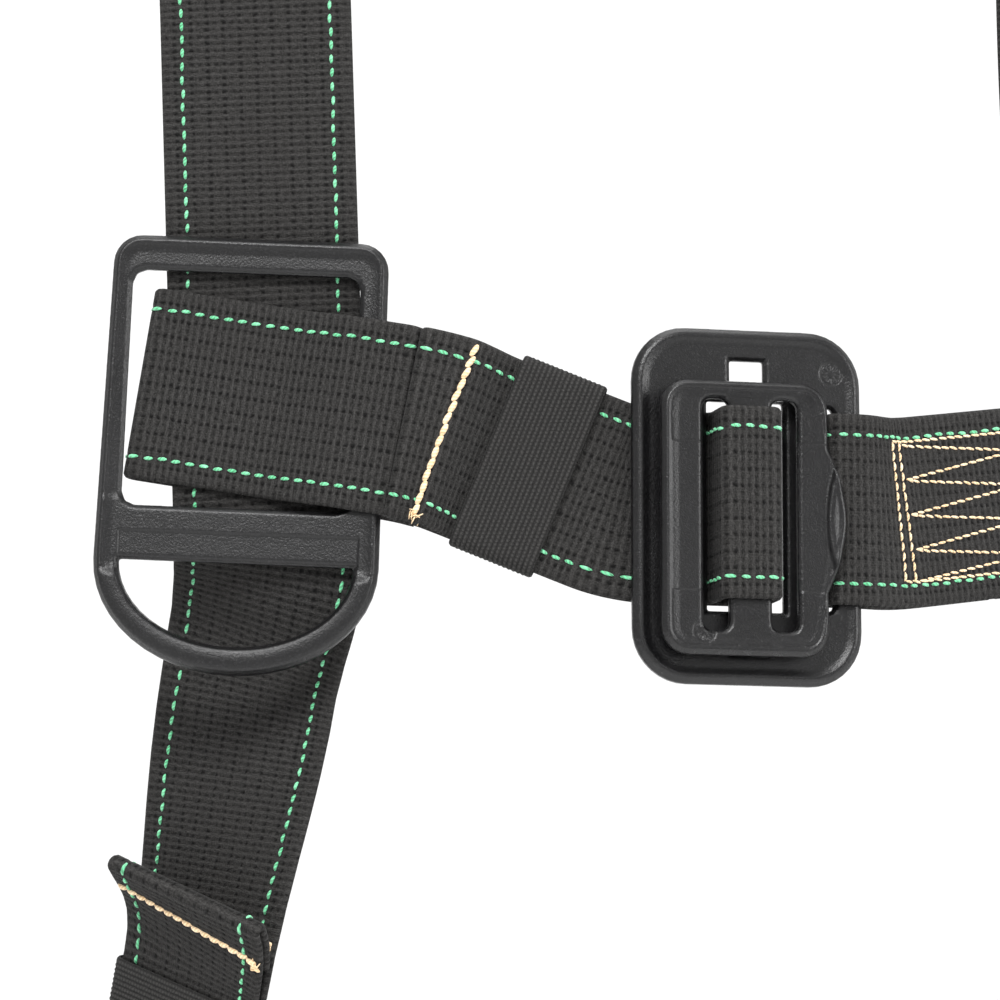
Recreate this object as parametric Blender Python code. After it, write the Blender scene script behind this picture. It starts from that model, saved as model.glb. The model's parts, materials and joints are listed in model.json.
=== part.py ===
"""Webbing-only tree climbing harness, shown as worn, with nobody in it.

+X is the wearer's left, -Y is the front, +Z is up. The origin is the middle of the wearer's
chest at the height of the chest buckle. "right" and "left" in a name are the wearer's.

A strap is drawn along a Route. On a route, s is the distance along it, q is the height over it
towards the outside of the harness, and w runs across the webbing.
"""

import math

import bpy
import bmesh
from mathutils import Matrix, Vector

# ---- driving dimensions, in metres ----
WEB_WIDTH = 0.044
WEB_THICK = 0.0020
GAP = 0.0003
LAYER = WEB_THICK + GAP          # from the middle of one layer of webbing to the next
ELASTIC_WIDTH = 0.020
ELASTIC_THICK = 0.0012
HEM_LENGTH = 0.0125              # the folded end of an adjustable strap
TURN = 0.00115                   # middle-line radius of the tightest fold in the webbing
HEM_TURN = 0.00114               # a little under TURN, so that a hem's two bends don't touch
BAR_TURN = 0.0020                # the same where webbing goes round a bar
SAMPLE = 0.001
STRAP_STEP = 0.010

# chest: a flat middle for the buckle and a flat wing on each side for the shoulder strap
CHEST_DEPTH = 0.125
CHEST_PITCH = math.radians(8)
WING_YAW = math.radians(15)
RIGHT_SLOPE = math.radians(11.2)   # where the right half leaves its shoulder strap
RIGHT_STEEP = math.radians(24)   # the same half at its elastic
STEEP_FROM, STEEP_BY = 0.083, 0.061   # it steepens between these distances from the buckle
BUCKLE_SLOPE = math.radians(2)
LEFT_SLOPE = math.radians(-7)
BUCKLE_ZONE = (0.020, 0.028)     # the flat middle's reach to the wearer's right and left
BEND = 0.012
SHOULDER_REACH = 0.112           # from the buckle's middle to a shoulder strap, along the chest

# pass-through buckle
FRAME_SIZE = (0.0540, 0.0815)
FRAME_Q = (0.0040, 0.0074)
TONGUE_SIZE = (0.0392, 0.0625)
TONGUE_DROP = 0.0034             # its middle lies this far below the frame's
TONGUE_REACH = (-0.0291, 0.0237) # the lower and upper ends of its slots
TONGUE_Q = (0.0100, 0.0132)
TONGUE_HINGE = -0.0218           # its edge that stays down when it is lifted
TONGUE_BAR = (-0.006, 0.004)     # the bar that the webbing goes round, from and to
TONGUE_SLOT = 0.0062
STRAP_SLOT = (0.0155, 0.0205)    # the frame's own webbing slot
SLOT_LENGTH = 0.047

# lanyard keeper
KEEPER_Q = (0.0036, 0.0070)
KEEPER_TILT = math.radians(-4.5)

# torso adjuster
ADJUSTER_SIZE = (0.046, 0.060)
ADJUSTER_Q = (0.0037, 0.0069)
ADJUSTER_BAR = (-0.004, 0.004)
ADJUSTER_FAR_SLOT = 0.0105

# back
BACK_PLATE_Q = (0.0013, 0.0053)
DORSAL_BAR_Q = (0.0056, 0.0106)
DORSAL_HANG = math.radians(132)  # the hanging ring's angle from flat and upright on the back
TAB_SLOT = (0.0242, 0.0286)      # the slots for the webbing tab that holds the ring, from the middle

# colour, roughness and metallic value of each finish
WEB_BLACK = ((0.035, 0.035, 0.037), 0.85, 0.0)
ELASTIC_BLACK = ((0.03, 0.03, 0.03), 0.9, 0.0)
STEEL_BLACK = ((0.03, 0.03, 0.032), 0.38, 0.3)
PLASTIC_BLACK = ((0.04, 0.04, 0.042), 0.5, 0.0)


def clear_scene():
    for obj in list(bpy.data.objects):
        bpy.data.objects.remove(obj)


def new_material(name, finish):
    colour, roughness, metallic = finish
    made = bpy.data.materials.new(name)
    made.use_nodes = True
    shader = made.node_tree.nodes["Principled BSDF"]
    shader.inputs["Base Color"].default_value = (*colour, 1.0)
    shader.inputs["Roughness"].default_value = roughness
    shader.inputs["Metallic"].default_value = metallic
    return made


def add_object(name, mesh, finish, matrix=None):
    obj = bpy.data.objects.new(name, mesh)
    bpy.context.scene.collection.objects.link(obj)
    mesh.materials.append(new_material(name, finish))
    if matrix is not None:
        obj.matrix_world = matrix
    return obj


# ---- routes ----
class Route:
    """A smooth line through stations (point, normal, tangent), with the outward normal along it.

    Two stations that share a tangent and a normal have a straight, flat stretch between them.
    """

    def __init__(self, stations):
        self.points, self.tangents, self.normals, self.marks = [], [], [], []
        self.lengths = [0.0]
        for index in range(len(stations) - 1):
            self.add_stretch(stations, index)
        for first, second in zip(self.points, self.points[1:]):
            self.lengths.append(self.lengths[-1] + (second - first).length)

    @staticmethod
    def tangent_at(stations, index):
        if stations[index][2] is not None:
            return Vector(stations[index][2]).normalized()
        before = Vector(stations[max(index - 1, 0)][0])
        after = Vector(stations[min(index + 1, len(stations) - 1)][0])
        return (after - before).normalized()

    def add_stretch(self, stations, index):
        start, end = Vector(stations[index][0]), Vector(stations[index + 1][0])
        start_dir = self.tangent_at(stations, index)
        end_dir = self.tangent_at(stations, index + 1)
        start_out, end_out = Vector(stations[index][1]), Vector(stations[index + 1][1])
        chord = (end - start).length
        steps = max(2, round(chord / SAMPLE))
        last = index == len(stations) - 2
        for step in range(steps + (1 if last else 0)):
            if step == 0:
                self.marks.append(len(self.points))
            u = step / steps
            h00, h10 = 2 * u**3 - 3 * u**2 + 1, u**3 - 2 * u**2 + u
            h01, h11 = 3 * u**2 - 2 * u**3, u**3 - u**2
            point = h00 * start + h01 * end + chord * (h10 * start_dir + h11 * end_dir)
            d00, d10 = 6 * u**2 - 6 * u, 3 * u**2 - 4 * u + 1
            d11 = 3 * u**2 - 2 * u
            along = (end - start) * -d00 + chord * (d10 * start_dir + d11 * end_dir)
            along.normalize()
            out = start_out.lerp(end_out, h01)
            out = (out - along * out.dot(along)).normalized()
            self.points.append(point)
            self.tangents.append(along)
            self.normals.append(out)

    def length(self):
        return self.lengths[-1]

    def station(self, index):
        """The distance along the route of one of its stations."""
        return self.lengths[self.marks[index]] if index < len(self.marks) else self.lengths[-1]

    def frame(self, s):
        """Point, tangent, outward normal and width direction at a distance along the route."""
        if s <= 0 or s >= self.lengths[-1]:
            index = 0 if s <= 0 else -1
            tangent, out = self.tangents[index], self.normals[index]
            beyond = s if s <= 0 else s - self.lengths[-1]
            return self.points[index] + tangent * beyond, tangent, out, out.cross(tangent)
        low, high = 0, len(self.lengths) - 1
        while high - low > 1:
            middle = (low + high) // 2
            if self.lengths[middle] <= s:
                low = middle
            else:
                high = middle
        share = (s - self.lengths[low]) / (self.lengths[high] - self.lengths[low])
        point = self.points[low].lerp(self.points[high], share)
        tangent = self.tangents[low].lerp(self.tangents[high], share).normalized()
        out = self.normals[low].lerp(self.normals[high], share)
        out = (out - tangent * out.dot(tangent)).normalized()
        return point, tangent, out, out.cross(tangent)

    def place(self, s, q, w):
        point, _, out, across = self.frame(s)
        return point + out * q + across * w

    def matrix(self, s):
        """The frame at s as a matrix: local X along the route, Y across it, Z outwards."""
        point, tangent, out, across = self.frame(s)
        matrix = Matrix((tangent, across, out)).transposed().to_4x4()
        matrix.translation = point
        return matrix


def flat(centre, normal, tangent, before, after):
    """Two stations with a straight, flat stretch between them."""
    centre, tangent = Vector(centre), Vector(tangent).normalized()
    normal = Vector(normal).normalized()
    normal = (normal - tangent * normal.dot(tangent)).normalized()
    return [(centre - tangent * before, normal, tangent), (centre + tangent * after, normal, tangent)]


# ---- webbing ----
def rounded(corners, arc_step=math.radians(40)):
    """The (s, q) line through the corners (s, q, radius), with each corner an arc."""
    line = [Vector(corners[0][:2])]
    for before, here, after in zip(corners, corners[1:], corners[2:]):
        corner, radius = Vector(here[:2]), here[2]
        back = (Vector(before[:2]) - corner).normalized()
        ahead = (Vector(after[:2]) - corner).normalized()
        turn = math.pi - back.angle(ahead)
        if radius == 0 or turn < math.radians(1):
            line.append(corner)
            continue
        reach = radius * math.tan(turn / 2)
        centre = corner + (back + ahead).normalized() * (radius / math.cos(turn / 2))
        first, final = corner + back * reach, corner + ahead * reach
        count = max(1, math.ceil(turn / arc_step))
        from_angle = math.atan2(first.y - centre.y, first.x - centre.x)
        to_angle = math.atan2(final.y - centre.y, final.x - centre.x)
        sweep = (to_angle - from_angle + math.pi) % math.tau - math.pi
        for step in range(count + 1):
            angle = from_angle + sweep * step / count
            line.append(centre + radius * Vector((math.cos(angle), math.sin(angle))))
    line.append(Vector(corners[-1][:2]))
    return line


def trace(route, corners, step=STRAP_STEP):
    """Sections (middle, thickness direction, width direction) of webbing that follows corners."""
    line = rounded(corners)
    fine = [line[0]]
    for first, second in zip(line, line[1:]):
        pieces = max(1, math.ceil((second - first).length / step))
        fine += [first.lerp(second, k / pieces) for k in range(1, pieces + 1)]
    sections = []
    for index, here in enumerate(fine):
        before, after = fine[max(index - 1, 0)], fine[min(index + 1, len(fine) - 1)]
        into = (here - before).normalized() if index else (after - here).normalized()
        out_of = (after - here).normalized() if index < len(fine) - 1 else into
        along = (into + out_of).normalized()
        mitre = 1 / max(0.5, along.dot(into))
        point, tangent, out, across = route.frame(here.x)
        thick = (out * along.x - tangent * along.y) * mitre
        sections.append((point + out * here.y, thick, across))
    return sections


def add_web(name, sections, width=WEB_WIDTH, thick=WEB_THICK):
    """A strip of webbing lofted through its sections."""
    shape = bmesh.new()
    rings = []
    for middle, up, across in sections:
        side, rise = across * width / 2, up * thick / 2
        corners = (middle - side - rise, middle + side - rise, middle + side + rise, middle - side + rise)
        rings.append([shape.verts.new(corner) for corner in corners])
    for first, second in zip(rings, rings[1:]):
        for k in range(4):
            shape.faces.new((first[k], first[(k + 1) % 4], second[(k + 1) % 4], second[k]))
    shape.faces.new(reversed(rings[0]))
    shape.faces.new(rings[-1])
    bmesh.ops.recalc_face_normals(shape, faces=shape.faces)
    mesh = bpy.data.meshes.new(name)
    shape.to_mesh(mesh)
    shape.free()
    return add_object(name, mesh, WEB_BLACK)


def add_sleeve(name, route, start, end, low, high):
    """A band of elastic that goes round the layers of webbing between two heights."""
    half = WEB_WIDTH / 2 + GAP
    shape = bmesh.new()
    rings = []
    steps = max(2, math.ceil((end - start) / 0.006))
    for step in range(steps + 1):
        s = start + (end - start) * step / steps
        for grow in (0.0, ELASTIC_THICK):
            outline = (
                (low - GAP - grow, -half - grow),
                (low - GAP - grow, half + grow),
                (high + GAP + grow, half + grow),
                (high + GAP + grow, -half - grow),
            )
            rings.append([shape.verts.new(route.place(s, q, w)) for q, w in outline])
    inner, outer = rings[0::2], rings[1::2]
    for wall, flip in ((inner, True), (outer, False)):
        for first, second in zip(wall, wall[1:]):
            for k in range(4):
                face = (first[k], first[(k + 1) % 4], second[(k + 1) % 4], second[k])
                shape.faces.new(reversed(face) if flip else face)
    for index in (0, -1):
        for k in range(4):
            n = (k + 1) % 4
            shape.faces.new((inner[index][k], inner[index][n], outer[index][n], outer[index][k]))
    bmesh.ops.recalc_face_normals(shape, faces=shape.faces)
    mesh = bpy.data.meshes.new(name)
    shape.to_mesh(mesh)
    shape.free()
    return add_object(name, mesh, ELASTIC_BLACK)


# ---- plates and rings, drawn flat as an outline with holes ----
def arc_points(centre, radius, start_deg, end_deg, count):
    angles = [math.radians(start_deg + (end_deg - start_deg) * k / count) for k in range(count + 1)]
    return [(centre[0] + radius * math.cos(a), centre[1] + radius * math.sin(a)) for a in angles]


def rounded_box(low, high, radii, count=3):
    """A box from low to high, with a radius for each corner: bottom right, top right, and round."""
    (x0, y0), (x1, y1) = low, high
    if not hasattr(radii, "__len__"):
        radii = (radii,) * 4
    corners = (((x1, y0), -1, 1, -90), ((x1, y1), -1, -1, 0), ((x0, y1), 1, -1, 90), ((x0, y0), 1, 1, 180))
    points = []
    for ((x, y), dx, dy, start), radius in zip(corners, radii):
        centre = (x + dx * radius, y + dy * radius)
        points += arc_points(centre, radius, start, start + 90, count)
    return points


def add_plate(name, outlines, q_range, bevel, finish, matrix):
    """A plate with rounded rims between two heights over a frame, from an outline and its holes."""
    curve = bpy.data.curves.new(name, "CURVE")
    curve.dimensions = "2D"
    curve.fill_mode = "BOTH"
    curve.extrude = (q_range[1] - q_range[0]) / 2 - bevel
    curve.bevel_depth = bevel
    curve.bevel_resolution = 0
    curve.offset = -bevel
    for outline in outlines:
        spline = curve.splines.new("POLY")
        spline.points.add(len(outline) - 1)
        spline.use_cyclic_u = True
        for point, (x, y) in zip(spline.points, outline):
            point.co = (x, y, 0.0, 1.0)
    middle = Matrix.Translation((0, 0, sum(q_range) / 2))
    return add_object(name, curve, finish, matrix @ middle)


def tongue_outlines():
    """The pass-through buckle's small plate, with a thumb tab on the side away from its strap.

    It is drawn from its hinge edge.
    """
    low, high = -TONGUE_SIZE[1] / 2 - TONGUE_DROP, TONGUE_SIZE[1] / 2 - TONGUE_DROP
    left, right = TONGUE_HINGE, TONGUE_HINGE + TONGUE_SIZE[0]
    tab_low, tab_high, tab_reach = -0.0165 - TONGUE_DROP, 0.0165 - TONGUE_DROP, 0.0046
    body = rounded_box((left, low), (right, high), 0.0062, 6)
    tab = []
    for k in range(17):
        u = k / 16
        tab.append((right + tab_reach * math.sin(math.pi * u), tab_low + (tab_high - tab_low) * u))
    cut = next(i for i, (_, y) in enumerate(body) if y > 0)
    outline = body[:cut] + tab + body[cut:]
    near = (TONGUE_BAR[0] - TONGUE_SLOT, TONGUE_BAR[0])
    far = (TONGUE_BAR[1], TONGUE_BAR[1] + TONGUE_SLOT)
    slot_low, slot_high = TONGUE_REACH
    slots = [rounded_box((west, slot_low), (east, slot_high), 0.0020, 3) for west, east in (near, far)]
    return [[(x - TONGUE_HINGE, y) for x, y in line] for line in (outline, *slots)]


def frame_outlines():
    """The pass-through buckle's large plate: a window for the small one, and a webbing slot."""
    half_x, half_y = FRAME_SIZE[0] / 2, FRAME_SIZE[1] / 2
    window_half, notch_half, notch_end = 0.024, 0.004, 0.0335
    west, east = -0.0095, 0.0085
    window = [
        (west, -window_half), (-notch_half, -window_half), (-notch_half, -notch_end),
        (notch_half, -notch_end), (notch_half, -window_half), (east, -window_half),
        (east, window_half), (notch_half, window_half), (notch_half, notch_end),
        (-notch_half, notch_end), (-notch_half, window_half), (west, window_half),
    ]
    slot = rounded_box((STRAP_SLOT[0], -SLOT_LENGTH / 2), (STRAP_SLOT[1], SLOT_LENGTH / 2), 0.0015, 2)
    return [rounded_box((-half_x, -half_y), (half_x, half_y), 0.0125, 9), window, slot]


def keeper_outlines(side):
    """A lanyard keeper: a window for the chest strap over a bar and a D for a lanyard's hook.

    side is -1 on the wearer's right, where the chest strap leaves towards +X.
    """
    outer, inner = 0.0362 * side, -0.0265 * side
    window_outer, window_inner = 0.0316 * side, -0.0203 * side
    top, window_top, window_low = 0.0370, 0.0290, -0.0250
    d_top, d_low = -0.0375, -0.0565
    x0, x1 = sorted((outer, inner))
    middle, half = (x0 + x1) / 2, (x1 - x0) / 2
    swell = 0.0010
    lower = []
    for k in range(25):
        angle = math.radians(180 + 180 * k / 24)
        lower.append((middle + (half + swell) * math.cos(angle), d_top + 0.0255 * math.sin(angle)))
    upper = rounded_box((x0, d_top), (x1, top), 0.0065, 6)[7:-7]
    outline = lower + upper
    w0, w1 = sorted((window_outer, window_inner))
    window = rounded_box((w0, window_low), (w1, window_top), 0.0030, 2)
    d_half = half - 0.0048
    d_hole = [(middle + d_half, d_top), (middle - d_half, d_top)]
    for k in range(1, 24):
        angle = math.radians(180 + 180 * k / 24)
        d_hole.append((middle + d_half * math.cos(angle), d_top + (d_top - d_low) * math.sin(angle)))
    return [outline, window, d_hole]


def adjuster_outlines():
    half_x, half_y = ADJUSTER_SIZE[0] / 2, ADJUSTER_SIZE[1] / 2
    near = (ADJUSTER_BAR[0] - TONGUE_SLOT, ADJUSTER_BAR[0])
    far = (ADJUSTER_BAR[1], ADJUSTER_BAR[1] + ADJUSTER_FAR_SLOT)
    slots = [
        rounded_box((low, -SLOT_LENGTH / 2), (high, SLOT_LENGTH / 2), 0.0015, 2)
        for low, high in (near, far)
    ]
    return [rounded_box((-half_x + 0.002, -half_y), (half_x - 0.001, half_y), 0.006), *slots]


# ---- threading ----
def threaded(start, centre, bar, plate_top, stop):
    """Webbing that comes in under a plate, goes round its bar and returns over itself to stop."""
    over = plate_top + GAP + WEB_THICK / 2
    far = centre + bar[1] + GAP + WEB_THICK / 2
    near = centre + bar[0] - GAP - WEB_THICK / 2
    return [start, (far, 0.0, 0.0036), (far, over, BAR_TURN), (near, over, BAR_TURN), (near, LAYER, BAR_TURN), stop]


def looped(centre, bar, plate_q):
    """The fold of webbing round the bar at the far side of a plate, from below to above."""
    inside = centre + bar - GAP - WEB_THICK / 2
    below, above = plate_q[0] - GAP - WEB_THICK / 2, plate_q[1] + GAP + WEB_THICK / 2
    return inside, below, above


# ---- the chest ----
def chest_axes(yaw, slope):
    """Tangent and outward normal of the chest strap where the chest faces yaw and it falls by slope."""
    up = Vector((0, math.sin(CHEST_PITCH), math.cos(CHEST_PITCH)))
    out = Vector((0, -math.cos(CHEST_PITCH), math.sin(CHEST_PITCH)))
    right = Vector((1, 0, 0))
    tangent = right * math.cos(yaw) + out * math.sin(yaw)
    normal = out * math.cos(yaw) - right * math.sin(yaw)
    return tangent * math.cos(slope) - up * math.sin(slope), normal


def chest_route():
    """The chest strap's route, from beyond the right shoulder strap to beyond the left one."""
    middle = Vector((0, -CHEST_DEPTH, 0))
    tangent, normal = chest_axes(0, BUCKLE_SLOPE)
    wing_to = SHOULDER_REACH + 0.045
    right_tangent, right_normal = chest_axes(WING_YAW, RIGHT_SLOPE)
    steep_tangent, _ = chest_axes(WING_YAW, RIGHT_STEEP)
    left_tangent, left_normal = chest_axes(-WING_YAW, LEFT_SLOPE)
    start = middle - tangent * BUCKLE_ZONE[0]
    right_end = start - (tangent + steep_tangent).normalized() * BEND
    steep = right_end - steep_tangent * (STEEP_BY - BUCKLE_ZONE[0] - BEND)
    easing = steep - (steep_tangent + right_tangent).normalized() * (STEEP_FROM - STEEP_BY)
    end = middle + tangent * BUCKLE_ZONE[1]
    left_end = end + (tangent + left_tangent).normalized() * BEND
    return Route([
        (easing - right_tangent * (wing_to - STEEP_FROM), right_normal, right_tangent),
        (easing, right_normal, right_tangent),
        (steep, right_normal, steep_tangent),
        (right_end, right_normal, steep_tangent),
        (start, normal, tangent),
        (end, normal, tangent),
        (left_end, left_normal, left_tangent),
        (left_end + left_tangent * (wing_to - BUCKLE_ZONE[1] - BEND), left_normal, left_tangent),
    ])


def buckle_middle(chest):
    return chest.station(4) + BUCKLE_ZONE[0]


def keeper_frame(chest, side):
    """A matrix at a shoulder strap on the chest route's base: X to the wearer's left, Y up, Z out."""
    point, _, out, _ = chest.frame(buckle_middle(chest) + side * SHOULDER_REACH)
    up = Vector((0, math.sin(CHEST_PITCH), math.cos(CHEST_PITCH)))
    matrix = Matrix((up.cross(out), up, out)).transposed().to_4x4()
    matrix.translation = point
    return matrix


def add_chest(chest):
    """The chest strap in its two halves, the buckle, the elastic and the two lanyard keepers."""
    centre = buckle_middle(chest)
    right, left = centre - SHOULDER_REACH, centre + SHOULDER_REACH
    crest = KEEPER_Q[1] + GAP + WEB_THICK / 2
    fold = 0.0285
    hem_end, flap_q = right + 0.0325, 0.0070
    corners = [
        (right + 0.040, 0.0, 0),
        (right - fold, 0.0, TURN * 2),
        (right - fold, 2 * LAYER, TURN * 2),
        (right + 0.004, 2 * LAYER, 0.01),
        (right + 0.0175, crest, 0.006),
        (right + 0.0304, crest, 0.002),
        (right + 0.0349, LAYER, 0.003),
        (right + 0.0415, LAYER, 0.006),
        (right + 0.0475, 0.0, 0.006),
    ]
    stop = (right + 0.0495, LAYER, 0.004)
    corners += threaded((centre - 0.03, 0.0, 0), centre, TONGUE_BAR, TONGUE_Q[1], stop)
    corners += [
        (right + 0.0425, flap_q + LAYER, 0.004),
        (hem_end, flap_q + LAYER, HEM_TURN),
        (hem_end, flap_q, HEM_TURN),
        (hem_end + HEM_LENGTH - 0.0035, flap_q, 0),
    ]
    add_web("chest_strap_right", trace(chest, corners, 0.005))
    top = LAYER + WEB_THICK / 2
    add_sleeve("chest_elastic", chest, centre - 0.0605, centre - 0.0405, -WEB_THICK / 2, top)

    inside, below, above = looped(centre, STRAP_SLOT[1], FRAME_Q)
    butt = centre + 0.060
    add_web("chest_strap_left", trace(chest, [
        (butt, 0.0, 0),
        (centre + 0.034, 0.0, 0.01),
        (centre + 0.0275, below, 0.006),
        (inside, below, BAR_TURN),
        (inside, above, BAR_TURN),
        (centre + 0.0285, above, 0.006),
        (centre + 0.040, LAYER, 0.01),
        (left - 0.0340, LAYER, 0.003),
        (left - 0.0295, crest, 0.002),
        (left - 0.0175, crest, 0.006),
        (left - 0.004, 2 * LAYER, 0.01),
        (left + fold, 2 * LAYER, TURN * 2),
        (left + fold, 0.0, TURN * 2),
        (butt + 0.002, 0.0, 0),
    ], 0.005))
    add_plate("chest_buckle_frame", frame_outlines(), FRAME_Q, 0.0010, STEEL_BLACK, chest.matrix(centre))
    hinge = chest.matrix(centre) @ Matrix.Translation((TONGUE_HINGE, 0, 0))
    add_plate("chest_buckle_tongue", tongue_outlines(), TONGUE_Q, 0.0008, STEEL_BLACK, hinge)
    for side, name in ((-1, "lanyard_keeper_right"), (1, "lanyard_keeper_left")):
        matrix = keeper_frame(chest, side) @ Matrix.Rotation(-side * KEEPER_TILT, 4, "Z")
        add_plate(name, keeper_outlines(side), KEEPER_Q, 0.0010, PLASTIC_BLACK, matrix)


# ---- shoulders, back and torso adjusters ----
HIP = Vector((0.178, 0.005, -0.335))
SEAT_BACK = Vector((0.062, 0.132, -0.440))
SEAT_BACK_OUT = Vector((0.25, 0.93, -0.22))
DORSAL = Vector((0, 0.1167, 0.190))
YOKE = Vector((0.1590, 0.0862, 0.190))   # where the back cross strap is sewn to a shoulder strap
YOKE_OUT = Vector((0.42, 0.9075, 0))


def mirrored(side, vector):
    """A point or direction given for the wearer's left, on the side asked for."""
    return Vector((side * vector[0], vector[1], vector[2]))


def adjuster_zone(chest, side):
    """Middle, outward normal and downward tangent of a torso adjuster."""
    anchor = keeper_frame(chest, side).translation
    middle = anchor + mirrored(side, (0.024, 0.016, -0.190))
    return middle, mirrored(side, (0.83, -0.56, 0.0)), mirrored(side, (0.14, 0.20, -0.97))


def shoulder_route(chest, side):
    """From the hip, up the back, over the shoulder and down the front to the adjuster."""
    keeper = keeper_frame(chest, side)
    up, out = keeper.col[1].xyz, keeper.col[2].xyz
    middle = keeper.translation + out * LAYER
    adjuster, adjuster_out, adjuster_down = adjuster_zone(chest, side)
    return Route([
        *flat(mirrored(side, HIP), (side, 0, 0), (0, 0.62, 0.785), 0.022, 0.036),
        (mirrored(side, (0.173, 0.070, -0.110)), mirrored(side, (0.74, 0.67, 0)), None),
        *flat(mirrored(side, YOKE), mirrored(side, YOKE_OUT), (0, 0, 1), 0.026, 0.026),
        (mirrored(side, (0.144, 0.064, 0.277)), mirrored(side, (0.33, 0.75, 0.55)), None),
        (mirrored(side, (0.125, 0.002, 0.312)), mirrored(side, (0.15, 0.05, 1.0)), None),
        (mirrored(side, (0.115, -0.066, 0.258)), mirrored(side, (0.2, -0.80, 0.55)), None),
        *flat(middle, out, -up, 0.085, 0.030),
        (middle + mirrored(side, (0.003, 0.006, -0.064)), mirrored(side, (0.58, -0.81, 0)), None),
        *flat(adjuster, adjuster_out, adjuster_down, 0.062, 0.030),
    ])


def tail_route(chest, side, shoulder, start):
    """The free end of a shoulder strap, from the adjuster up to the hem that stands off the strap."""
    point, tangent, out, _ = shoulder.frame(start)
    anchor = keeper_frame(chest, side).translation
    return Route([
        (point + out * LAYER, out, -tangent),
        (anchor + mirrored(side, (0.0218, -0.0110, -0.1113)), mirrored(side, (0.649, -0.287, -0.703)),
         mirrored(side, (0.387, -0.671, 0.631))),
    ])


def add_shoulder(chest, side, name):
    """One shoulder strap from hip to hem, with the elastic that holds its free end."""
    route = shoulder_route(chest, side)
    zone = route.station(11) + 0.062
    tail_from = zone - 0.0612
    end = (tail_from, LAYER, 0)
    corners = [(0, 0, 0), *threaded((tail_from, 0, 0), zone, ADJUSTER_BAR, ADJUSTER_Q[1], end)]
    tail = tail_route(chest, side, route, tail_from)
    free = tail.length()
    tail_corners = [
        (0, 0, 0),
        (free, 0, HEM_TURN),
        (free, -LAYER, HEM_TURN),
        (free - HEM_LENGTH, -LAYER, 0),
    ]
    sections = trace(route, corners, STRAP_STEP)
    # the tail's route runs the other way, so its sections are turned half round to match
    sections += [(point, -thick, -across) for point, thick, across in trace(tail, tail_corners, 0.004)[1:]]
    add_web(f"shoulder_strap_{name}", sections)
    top = LAYER + WEB_THICK / 2
    add_sleeve(f"torso_elastic_{name}", route, zone - 0.0595, zone - 0.0395, -WEB_THICK / 2, top)
    add_plate(f"torso_adjuster_{name}", adjuster_outlines(), ADJUSTER_Q, 0.0008, STEEL_BLACK, route.matrix(zone))


# ---- seat and legs ----
def seat_route(chest):
    """From the right adjuster round the right hip, under the seat and up to the left adjuster."""
    right, right_out, right_down = adjuster_zone(chest, -1)
    left, left_out, left_down = adjuster_zone(chest, 1)
    hip = HIP + Vector((LAYER, 0, 0))
    return Route([
        *flat(right, right_out, right_down, 0.0, 0.045),
        *flat(mirrored(-1, hip), (-1, 0, 0), (0, 0.60, -0.80), 0.036, 0.036),
        (mirrored(-1, (0.128, 0.112, -0.424)), mirrored(-1, (0.62, 0.78, -0.15)), None),
        *flat(mirrored(-1, SEAT_BACK), mirrored(-1, SEAT_BACK_OUT), (1, 0.27, 0), 0.032, 0.032),
        *flat(SEAT_BACK, SEAT_BACK_OUT, (1, -0.27, 0), 0.032, 0.032),
        (mirrored(1, (0.128, 0.112, -0.424)), mirrored(1, (0.62, 0.78, -0.15)), None),
        *flat(hip, (1, 0, 0), (0, -0.60, 0.80), 0.036, 0.036),
        *flat(left, left_out, -left_down, 0.045, 0.0),
    ])


def add_seat(chest):
    """The seat strap, with a sewn loop round the lower bar of each adjuster."""
    route = seat_route(chest)
    bar = ADJUSTER_BAR[1] + ADJUSTER_FAR_SLOT
    inside, below, above = looped(0, bar, ADJUSTER_Q)
    sewn = 0.042
    half = [
        (sewn, LAYER, 0),
        (0.0255, above, 0.006),
        (inside, above, BAR_TURN),
        (inside, below, BAR_TURN),
        (0.0255, below, 0.006),
        (sewn - 0.006, 0, 0.006),
    ]
    end = route.length()
    other = [(end - s, q, radius) for s, q, radius in reversed(half)]
    add_web("seat_strap", trace(route, half + other))


def leg_route(side):
    """From the seat strap, between the legs, up the front of the thigh to the hip."""
    hip = HIP + Vector((2 * LAYER, 0, 0))
    behind = SEAT_BACK + SEAT_BACK_OUT.normalized() * (LAYER + GAP)
    return Route([
        *flat(mirrored(side, behind), mirrored(side, SEAT_BACK_OUT), mirrored(side, (-0.20, -0.18, -0.95)),
              0.020, 0.026),
        (mirrored(side, (0.034, 0.065, -0.538)), mirrored(side, (-0.60, 0.45, -0.65)), None),
        (mirrored(side, (0.030, -0.020, -0.540)), mirrored(side, (-0.66, -0.30, -0.68)), None),
        *flat(mirrored(side, (0.110, -0.108, -0.428)), mirrored(side, (0.25, -0.95, -0.15)),
              mirrored(side, (0.72, 0.06, 0.69)), 0.088, 0.034),
        *flat(mirrored(side, hip), (side, 0, 0), (0, 0.55, 0.83), 0.032, 0.018),
    ])


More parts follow.
